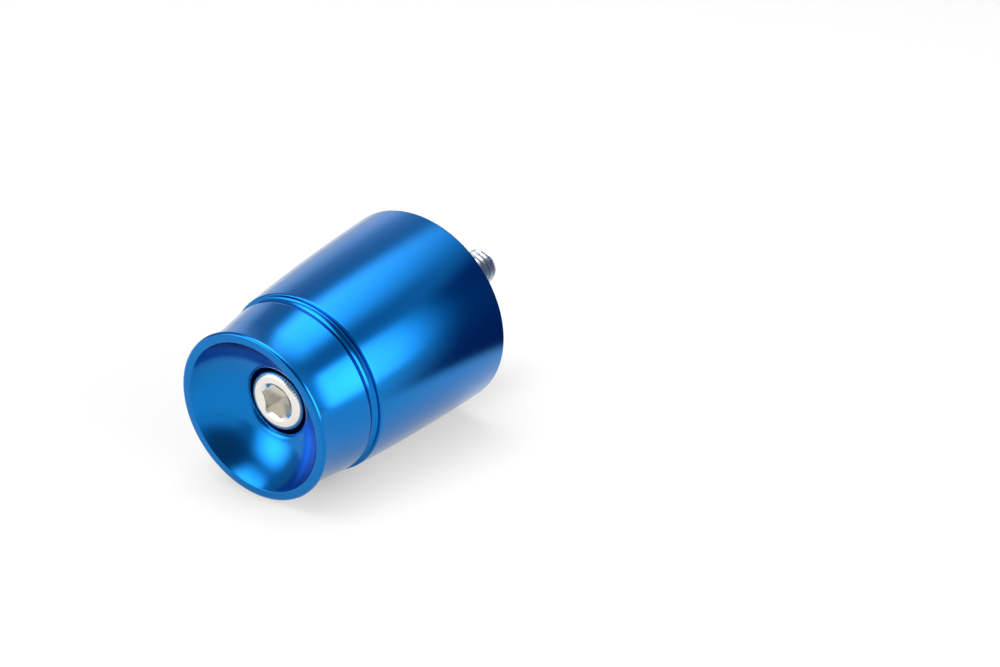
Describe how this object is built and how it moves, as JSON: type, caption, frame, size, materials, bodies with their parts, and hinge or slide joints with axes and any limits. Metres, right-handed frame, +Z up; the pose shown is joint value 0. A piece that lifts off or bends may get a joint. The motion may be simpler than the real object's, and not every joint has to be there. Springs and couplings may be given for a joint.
{
  "type": "bar end weight",
  "caption": "Turned bar end weight with a dished outer end, flared collar, round groove and swelling skirt, clamped to a handlebar by a central socket head cap screw.",
  "frame": {"origin": "middle of the seat, the flat face that meets the end of the handlebar", "axes": "+Y along the turning axis from the dish to the screw's tip, into the handlebar; the dish faces -Y; +Z up"},
  "size_m": [0.0334, 0.0583, 0.0334],
  "materials": {
    "anodised_aluminium": "blue anodised over fine turning lines, semi-gloss",
    "bright_steel": "bright stainless steel"
  },
  "bodies": {
    "root": {"weight_body": "anodised_aluminium", "socket_screw": "bright_steel"}
  },
  "joints": []
}
